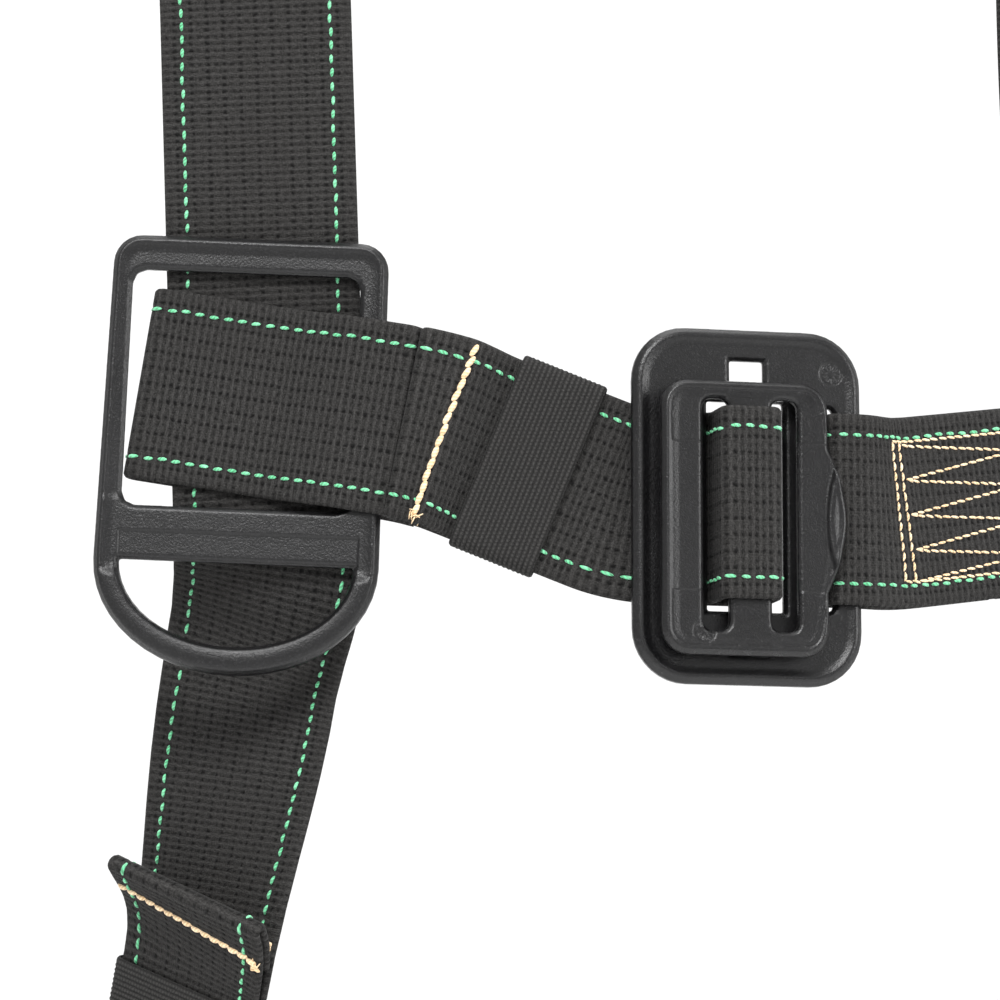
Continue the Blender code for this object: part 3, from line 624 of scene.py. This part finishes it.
def keeper_relief(x, y, depth, front):
    """The keeper's bead, the plain strip on its bar, and the round wire of its eye."""
    eye = smooth_step(-7.0 * MM, -10.5 * MM, y)
    wire = 1.25 * MM * np.clip(1 - ((depth - 3.6 * MM) / (4.2 * MM)) ** 2, 0, 1)
    wire = np.where(front, wire, wire - 1.25 * MM)
    strip = smooth_step(27.5 * MM, 26.9 * MM, np.abs(x))
    strip = strip * smooth_step(3.9 * MM, 3.3 * MM, np.abs(y + 3.2 * MM))
    bar = smooth_step(-8.5 * MM, -7.5 * MM, y) * smooth_step(9.0 * MM, 7.0 * MM, y)
    face = bead_rim(depth, 1.5 * MM) * (1 - eye) + 0.25 * MM * bar - 0.42 * MM * strip
    return front * face + wire * eye


def ring_relief(x, y, depth, front):
    return 0.45 * MM * np.clip(1 - ((depth - 4.0 * MM) / (4.0 * MM)) ** 2, 0, 1)


def plain_relief(x, y, depth, front):
    return front * bead_rim(depth, 1.6 * MM, rise=0.3 * MM, sunk=0.12 * MM)


# ---- materials ----
class Nodes:
    """A small helper for building a material's nodes."""

    def __init__(self, name):
        self.material = bpy.data.materials.new(name)
        self.material.use_nodes = True
        self.tree = self.material.node_tree
        self.shader = self.tree.nodes["Principled BSDF"]

    def add(self, kind, **values):
        node = self.tree.nodes.new("ShaderNode" + kind)
        for key, value in values.items():
            setattr(node, key, value)
        return node

    def link(self, source, target):
        self.tree.links.new(source, target)

    def math(self, operation, first, second=None, clamp=False):
        node = self.add("Math", operation=operation, use_clamp=clamp)
        for socket, value in zip(node.inputs, (first, second)):
            if isinstance(value, (int, float)):
                socket.default_value = value
            elif value is not None:
                self.link(value, socket)
        return node.outputs[0]

    def plus(self, first, second, clamp=False):
        return self.math("ADD", first, second, clamp)

    def minus(self, first, second):
        return self.math("SUBTRACT", first, second)

    def times(self, first, second, clamp=False):
        return self.math("MULTIPLY", first, second, clamp)

    def power(self, first, second):
        return self.math("POWER", first, second)

    def ripple(self, value, pitch, swing=0.5):
        """0.5 + swing * cosine, once over in each pitch of value."""
        turn = self.times(value, 2 * math.pi / pitch)
        return self.plus(self.times(self.math("COSINE", turn), swing), 0.5)

    def mix(self, share, first, second):
        node = self.add("Mix", data_type="RGBA")
        for socket, value in ((node.inputs[0], share), (node.inputs[6], first), (node.inputs[7], second)):
            if isinstance(value, tuple):
                socket.default_value = (*value, 1.0)
            elif isinstance(value, (int, float)):
                socket.default_value = value
            else:
                self.link(value, socket)
        return node.outputs[2]

    def noise(self, vector, scale, detail=2.0, roughness=0.5):
        node = self.add("TexNoise")
        node.inputs["Scale"].default_value = scale
        node.inputs["Detail"].default_value = detail
        node.inputs["Roughness"].default_value = roughness
        self.link(vector, node.inputs["Vector"])
        return node.outputs["Fac"]

    def bump(self, height, distance, strength=1.0):
        """Bumps of a height, linked to the shader."""
        node = self.add("Bump")
        node.inputs["Strength"].default_value = strength
        node.inputs["Distance"].default_value = distance
        self.link(height, node.inputs["Height"])
        self.link(node.outputs[0], self.shader.inputs["Normal"])

    def web_place(self):
        """The uv map, and in millimetres the place along and round the piece that it holds."""
        uv = self.add("UVMap", uv_map="UVMap").outputs[0]
        split = self.add("SeparateXYZ")
        self.link(uv, split.inputs[0])
        return uv, split.outputs[0], split.outputs[1]


def webbing_material(name):
    """Ribs across the strap with a painted highlight on their crests and painted shade in their grooves,
    columns of gaps in the grooves painted near black as shade, and fine yarns.
    """
    groove_shade, lit_crest, bright_fibre = (0.0012, 0.0012, 0.0013), (0.066, 0.064, 0.063), (0.105, 0.102, 0.096)
    pit_shade, dusty = (0.0012, 0.0012, 0.0014), (0.017, 0.0155, 0.0145)
    rib_pitch, gap_pitch, yarn_pitch = RIB_PITCH / MM, 3.75, 0.62
    n = Nodes(name)
    uv, along, across = n.web_place()
    drift = n.noise(uv, 0.55, 2.0)
    along = n.plus(along, n.times(n.minus(drift, 0.5), 0.5))
    rib = n.ripple(along, rib_pitch, -0.5)
    # each groove has columns of gaps, painted near black as painted shade, and every other groove fainter
    # gaps between the columns
    groove = n.math("ROUND", n.math("DIVIDE", along, rib_pitch))
    odd = n.math("MODULO", n.math("ABSOLUTE", groove), 2.0)
    wander = n.times(n.minus(n.noise(uv, 0.7, 1.0), 0.5), 0.30)
    swing = n.ripple(n.plus(n.math("DIVIDE", across, gap_pitch), wander), 1.0)
    between = n.times(n.power(n.minus(1.0, swing), 8.0), n.times(odd, 0.55))
    gap = n.plus(n.power(swing, 8.0), between)
    uneven = n.plus(n.times(n.noise(uv, 0.45, 2.0), 2.4), -0.45, clamp=True)
    valley = n.power(n.minus(1.0, rib), 1.3)
    pit_depth_and_shade = n.times(n.times(gap, uneven), valley, clamp=True)
    yarn = n.ripple(across, yarn_pitch)
    fibre = n.noise(uv, 2.6, 3.0, 0.75)
    stretch = n.add("Mapping")
    stretch.inputs["Scale"].default_value = (3.4, 0.75, 1.0)
    n.link(uv, stretch.inputs["Vector"])
    strand = n.noise(stretch.outputs[0], 1.0, 3.0, 0.7)
    height = n.plus(n.times(rib, 0.45), n.times(yarn, 0.12))
    height = n.plus(height, n.times(strand, 1.1))
    height = n.plus(height, n.times(fibre, 0.6))
    height = n.minus(height, n.times(pit_depth_and_shade, 1.6))
    n.bump(height, 0.42 * MM)
    streak = n.times(n.minus(strand, 0.36), 3.2, clamp=True)
    lit_crest_and_strand = n.power(n.times(n.plus(n.times(rib, 0.55), streak), 0.50, clamp=True), 1.5)
    # painted highlight and painted shade: the rib crests are painted lighter and the grooves darker; the
    # bright strands are yarn tone
    colour = n.mix(lit_crest_and_strand, groove_shade, lit_crest)
    colour = n.mix(n.times(n.power(fibre, 5.0), 2.2, clamp=True), colour, bright_fibre)
    # painted shade: the gaps in the weave are painted near black
    colour = n.mix(n.times(pit_depth_and_shade, 1.5, clamp=True), colour, pit_shade)
    cloud = n.noise(n.add("TexCoord").outputs["Object"], 45.0, 2.0)
    colour = n.mix(n.times(cloud, 0.35), colour, dusty)
    n.link(colour, n.shader.inputs["Base Color"])
    n.shader.inputs["Roughness"].default_value = 0.82
    n.shader.inputs["Sheen Weight"].default_value = 0.02
    n.shader.inputs["Sheen Roughness"].default_value = 0.45
    n.shader.inputs["Specular IOR Level"].default_value = 0.12
    return n.material


def thread_material(name, groove_shade, colour, light):
    """Twisted sewing thread: slanting plies with painted shade between them, and a little fuzz."""
    ply_pitch = 0.85
    n = Nodes(name)
    _, along, angle = n.web_place()
    position = n.add("TexCoord").outputs["Object"]
    slant = n.plus(n.times(along, 2 * math.pi / ply_pitch), n.times(angle, 2.0))
    ply = n.ripple(slant, 2 * math.pi)
    fuzz = n.noise(position, 5200.0, 3.0, 0.7)
    n.bump(n.plus(n.times(ply, 0.8), fuzz), 0.10 * MM, 0.8)
    patch = n.noise(position, 420.0, 2.0)
    # painted shade: the grooves between the plies take the darker colour
    base = n.mix(n.times(ply, 0.85), groove_shade, colour)
    base = n.mix(n.power(patch, 2.2), base, light)
    n.link(base, n.shader.inputs["Base Color"])
    n.shader.inputs["Roughness"].default_value = 0.55
    n.shader.inputs["Sheen Weight"].default_value = 0.3
    return n.material


def hardware_material(name, colour, rough, grain_size, grain_depth, gloss):
    """Black hardware with a fine cast grain, and sharp edges that are smoother and painted paler as a
    painted highlight.
    """
    dark = tuple(c * 0.62 for c in colour)
    # the pale colour of the grain's specks and of the painted highlight on sharp edges
    pale_grain_and_highlight = tuple(c * 3.0 + 0.008 for c in colour)
    n = Nodes(name)
    position = n.add("TexCoord").outputs["Object"]
    fine = n.noise(position, 1.0 / grain_size, 3.0, 0.65)
    broad = n.noise(position, 0.18 / grain_size, 2.0)
    n.bump(n.plus(fine, n.times(broad, 0.5)), grain_depth, 0.9)
    edge = n.add("NewGeometry").outputs["Pointiness"]
    rim_highlight_and_polish = n.times(n.minus(edge, 0.512), 9.0, clamp=True)
    rim_highlight_and_polish = n.times(rim_highlight_and_polish, n.plus(broad, 0.25), clamp=True)
    cloud = n.noise(position, 60.0, 3.0)
    base = n.mix(cloud, dark, colour)
    base = n.mix(n.times(n.power(fine, 6.0), 6.0, clamp=True), base, pale_grain_and_highlight)
    # painted highlight: sharp rounded edges are painted paler
    base = n.mix(n.times(rim_highlight_and_polish, 0.55), base, pale_grain_and_highlight)
    n.link(base, n.shader.inputs["Base Color"])
    uneven = n.plus(n.times(cloud, 0.16), rough - 0.08)
    n.link(n.plus(uneven, n.times(rim_highlight_and_polish, -0.12)), n.shader.inputs["Roughness"])
    n.shader.inputs["Specular IOR Level"].default_value = gloss
    return n.material


def elastic_material(name):
    """Knitted elastic: close columns, with a thread crossing each of them in short bumps; the raised knit
    is painted lighter as a painted highlight and the low places darker as painted shade.
    """
    groove_shade, lit_crest, bright_fibre = (0.0006, 0.0006, 0.0007), (0.034, 0.033, 0.032), (0.07, 0.068, 0.066)
    knot_pitch = 0.95
    n = Nodes(name)
    uv, along, round_it = n.web_place()
    wander = n.times(n.minus(n.noise(uv, 0.8, 2.0), 0.5), 0.9)
    column = n.plus(n.math("DIVIDE", along, KNIT_PITCH / MM), n.times(wander, 0.25))
    rib = n.ripple(column, 1.0)
    number = n.math("ABSOLUTE", n.math("FLOOR", n.plus(column, 0.5)))
    stagger = n.times(n.math("MODULO", number, 2.0), 0.5)
    row = n.plus(n.plus(n.math("DIVIDE", round_it, knot_pitch), stagger), wander)
    knot = n.ripple(row, 1.0)
    fibre = n.noise(uv, 3.5, 3.0, 0.7)
    height = n.times(n.power(rib, 0.7), n.plus(n.times(knot, 0.65), 0.45))
    height = n.plus(height, n.times(fibre, 0.4))
    n.bump(height, 0.34 * MM)
    # painted highlight and painted shade: the colour follows the knit's height
    colour = n.mix(n.times(height, 0.8, clamp=True), groove_shade, lit_crest)
    colour = n.mix(n.times(n.power(fibre, 5.0), 2.0, clamp=True), colour, bright_fibre)
    n.link(colour, n.shader.inputs["Base Color"])
    n.shader.inputs["Roughness"].default_value = 0.85
    n.shader.inputs["Specular IOR Level"].default_value = 0.14
    return n.material


def paint(obj, material):
    obj.data.materials.clear()
    obj.data.materials.append(material)
    return obj


WEB = webbing_material("black_webbing")
# the first colour of each thread is the painted shade between its plies
GREEN = thread_material("green_thread", (0.004, 0.10, 0.035), (0.055, 0.50, 0.20), (0.32, 0.86, 0.52))
CREAM = thread_material("cream_thread", (0.42, 0.24, 0.09), (0.80, 0.58, 0.32), (0.95, 0.84, 0.64))
STEEL = hardware_material("black_coated_steel", (0.0024, 0.0023, 0.0026), 0.29, 0.46 * MM, 0.11 * MM, 0.34)
MOULDED = hardware_material("black_moulding", (0.0030, 0.0029, 0.0032), 0.32, 0.50 * MM, 0.13 * MM, 0.32)
ELASTIC = elastic_material("black_elastic")

# ---- straps ----
FINE, PLAIN = 0.27 * MM, 0.54 * MM
BENDING = "chest_strap_right"    # the strap whose pieces are attached to no body
# node: (direction of its first end, direction across it there, body, spacing of its sections)
STRAPS = {
    "chest_strap_right": ((0, 1, 0), (0, 0, 1), "chest_band", FINE),
    "chest_strap_left": ((-1, 0, 0), (0, 0, -1), "chest_band", FINE),
    "shoulder_strap_right": ((0, 0, -1), (0, -1, 0), "harness", PLAIN),
    "shoulder_strap_left": ((0, 0, -1), (0, -1, 0), "harness", PLAIN),
    "back_cross_strap": ((-1, 0, 0), (0, 0, 1), "harness", PLAIN),
    "dorsal_tab": ((0, -1, 0), (-1, 0, 0), "harness", PLAIN),
    "seat_strap": ((-1, 0, 0), (0, 1, 0), "harness", PLAIN),
    "leg_strap_right": ((0, 1, 0), (-1, 0, 0), "harness", PLAIN),
    "leg_strap_left": ((0, 1, 0), (-1, 0, 0), "harness", PLAIN),
    "leg_hip_strap_right": ((0, 0, -1), (0, 0, 1), "harness", PLAIN),
    "leg_hip_strap_left": ((0, 0, -1), (0, 0, -1), "harness", PLAIN),
}
rng = random.Random(7)
straps, bending_pieces = {}, []
for node, (start, sideways, body, step) in STRAPS.items():
    strap = straps[node] = Strap(node, start, sideways)
    web = paint(weave_web(f"web_{node}", strap, step), WEB)
    rows = paint(join_parts(f"green_rows_{node}", [edge_rows(strap, rng)]), GREEN)
    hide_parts(node)
    if node == BENDING:
        bending_pieces += [web, rows]
    else:
        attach(web, body)
        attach(rows, body)

chest_seam = join_parts("hem_seam_chest", hem_seam(straps[BENDING], rng, 9.3 * MM, -1.2 * MM))
bending_pieces.append(paint(chest_seam, CREAM))
for side in SIDES:
    seam = hem_seam(straps[f"shoulder_strap_{side}"], rng, 9.0 * MM, 0.8 * MM)
    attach(paint(join_parts(f"hem_seam_torso_{side}", seam), CREAM), "harness")


def box_on(node, start, end, base=0):
    """Box stitching from start to end past a base on a strap, or before its far end if negative."""
    strap = straps[node]
    start, end = base + start, base + end
    if start < 0:
        start, end = strap.length + start, strap.length + end
    seam = zigzag_box(strap, start, end, strap.outer((start + end) / 2), rng)
    # the name's number is how many objects there are, so that two boxes on one strap differ
    return paint(join_parts(f"box_seam_{node}_{len(bpy.data.objects)}", [seam]), CREAM)


# the left chest strap's box starts just past the buckle's frame
left = straps["chest_strap_left"]
frame_middle = np.mean(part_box("chest_buckle_frame"), axis=0)
beside_frame = left.nearest(frame_middle + np.array([43, -20, 6]) * MM)
ahead = 1 if left.at(beside_frame)[1][0][0] > 0 else -1
first, last = sorted((5 * MM * ahead, 44 * MM * ahead))
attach(box_on("chest_strap_left", first, last, beside_frame), "chest_band")

# strap, start and end in millimetres: negative ones are measured from the strap's far end
BOXES = [("back_cross_strap", 4, 40), ("back_cross_strap", -40, -4)]
for strap in ("shoulder_strap", "leg_hip_strap", "leg_strap"):
    BOXES += [(f"{strap}_{side}", 4, 40) for side in SIDES]
BOXES += [("seat_strap", 4, 18), ("seat_strap", -18, -4)]
for node, start, end in BOXES:
    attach(box_on(node, start * MM, end * MM), "harness")

# ---- elastics and hardware ----
# node: (the strap it is on, body)
SLEEVES = {"chest_elastic": (BENDING, "chest_band")}
for side in SIDES:
    SLEEVES[f"torso_elastic_{side}"] = (f"shoulder_strap_{side}", f"torso_elastic_{side}")
for side in SIDES:
    SLEEVES[f"leg_elastic_{side}"] = (f"leg_strap_{side}", f"leg_elastic_{side}")
for node, (strap, body) in SLEEVES.items():
    sleeve = paint(knit_sleeve(f"knit_{node}", node, straps[strap]), ELASTIC)
    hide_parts(node)
    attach(sleeve, body)

bars = {m["name"]: m["pos_m"] for m in frame["record"]["mounts"]}
CLOSE, FAR = 0.25 * MM, 0.45 * MM
# node: (body, voxel size, relief, where its relief is measured from)
HARDWARE = {
    "chest_buckle_frame": ("chest_band", CLOSE, frame_relief, None),
    "chest_buckle_tongue": ("chest_tongue", CLOSE, tongue_relief, None),
    "lanyard_keeper_right": ("chest_band", CLOSE, keeper_relief, bars["lanyard_keeper_right_bar"]),
    "lanyard_keeper_left": ("chest_band", FAR, keeper_relief, bars["lanyard_keeper_left_bar"]),
    "dorsal_d_ring": ("dorsal_ring", FAR, ring_relief, None),
    "back_plate": ("harness", FAR, plain_relief, None),
}
for plate in ("torso_adjuster", "leg_buckle_frame", "leg_buckle_tongue"):
    for side in SIDES:
        HARDWARE[f"{plate}_{side}"] = ("harness", FAR, plain_relief, None)
for node, (body, voxel, relief, origin) in HARDWARE.items():
    piece = moulded(f"cast_{node}", node, voxel, relief, origin)
    is_plastic = node.startswith(("lanyard", "back"))
    paint(piece, MOULDED if is_plastic else STEEL)
    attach(piece, body)

# the pieces of that strap keep their place in the world, attached to no body
for piece in bending_pieces:
    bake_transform(piece)

# ---- surroundings ----
FLOOR_DROP = 0.06
floor_level = CAD_BOX[0][2] - FLOOR_DROP


def backdrop():
    """A floor that sweeps up into a wall behind the harness."""
    half_width, reach, bend, wall, pieces = 8.0, 6.0, 1.6, 5.0, 12
    line = [(-reach, floor_level)]
    for k in range(pieces + 1):
        angle = math.pi / 2 * k / pieces
        ahead, rise = bend * math.sin(angle), bend * (1 - math.cos(angle))
        line.append((reach - bend + ahead, floor_level + rise))
    line.append((reach, floor_level + wall))
    verts = [(x, y, z) for y, z in line for x in (-half_width, half_width)]
    faces = [(2 * k, 2 * k + 1, 2 * k + 3, 2 * k + 2) for k in range(len(line) - 1)]
    n = Nodes("studio_paper")
    mottle = n.noise(n.add("TexCoord").outputs["Object"], 3.0, 2.0)
    n.link(n.mix(mottle, (0.93, 0.93, 0.93), (0.95, 0.95, 0.95)), n.shader.inputs["Base Color"])
    n.shader.inputs["Roughness"].default_value = 0.9
    paint(new_object("studio_sweep", verts, faces), n.material)


def area_light(name, position, size, watts):
    """A square soft light that points at the middle of the harness."""
    lamp = bpy.data.lights.new(name, "AREA")
    lamp.shape, lamp.size, lamp.energy = "SQUARE", size, watts
    obj = bpy.data.objects.new(name, lamp)
    obj.location = position
    obj.rotation_euler = (-Vector(position)).to_track_quat("-Z", "Y").to_euler()
    bpy.context.scene.collection.objects.link(obj)


backdrop()
area_light("key", (-0.7, -1.5, 1.5), 0.7, 60)
area_light("fill", (1.7, -1.3, 0.5), 0.9, 26)
area_light("top", (0, 0.1, 2.0), 1.6, 26)
area_light("back", (0.5, 2.2, 1.4), 1.6, 24)
world = bpy.data.worlds.new("studio")
world.use_nodes = True
world.node_tree.nodes["Background"].inputs["Color"].default_value = (1, 1, 1, 1)
world.node_tree.nodes["Background"].inputs["Strength"].default_value = 1.0
bpy.context.scene.world = world

# ---- camera ----
AZIMUTH = math.radians(-14)
ELEVATION = math.radians(0)
DISTANCE = 1.2
VIEW_WIDTH = 0.227
SENSOR_WIDTH = 36                # in millimetres, as the lens is
AIM = Vector((-0.0545, -0.118, 0.0025))
camera_data = bpy.data.cameras.new("camera")
camera_data.sensor_width = SENSOR_WIDTH
camera_data.lens = SENSOR_WIDTH * DISTANCE / VIEW_WIDTH
camera = bpy.data.objects.new("camera", camera_data)
level = math.cos(ELEVATION)
back = Vector((math.sin(AZIMUTH) * level, -math.cos(AZIMUTH) * level, math.sin(ELEVATION)))
camera.location = AIM + back * DISTANCE
camera.rotation_euler = (-back).to_track_quat("-Z", "Y").to_euler()
bpy.context.scene.collection.objects.link(camera)
bpy.context.scene.camera = camera
bpy.context.scene.view_settings.view_transform = "Standard"
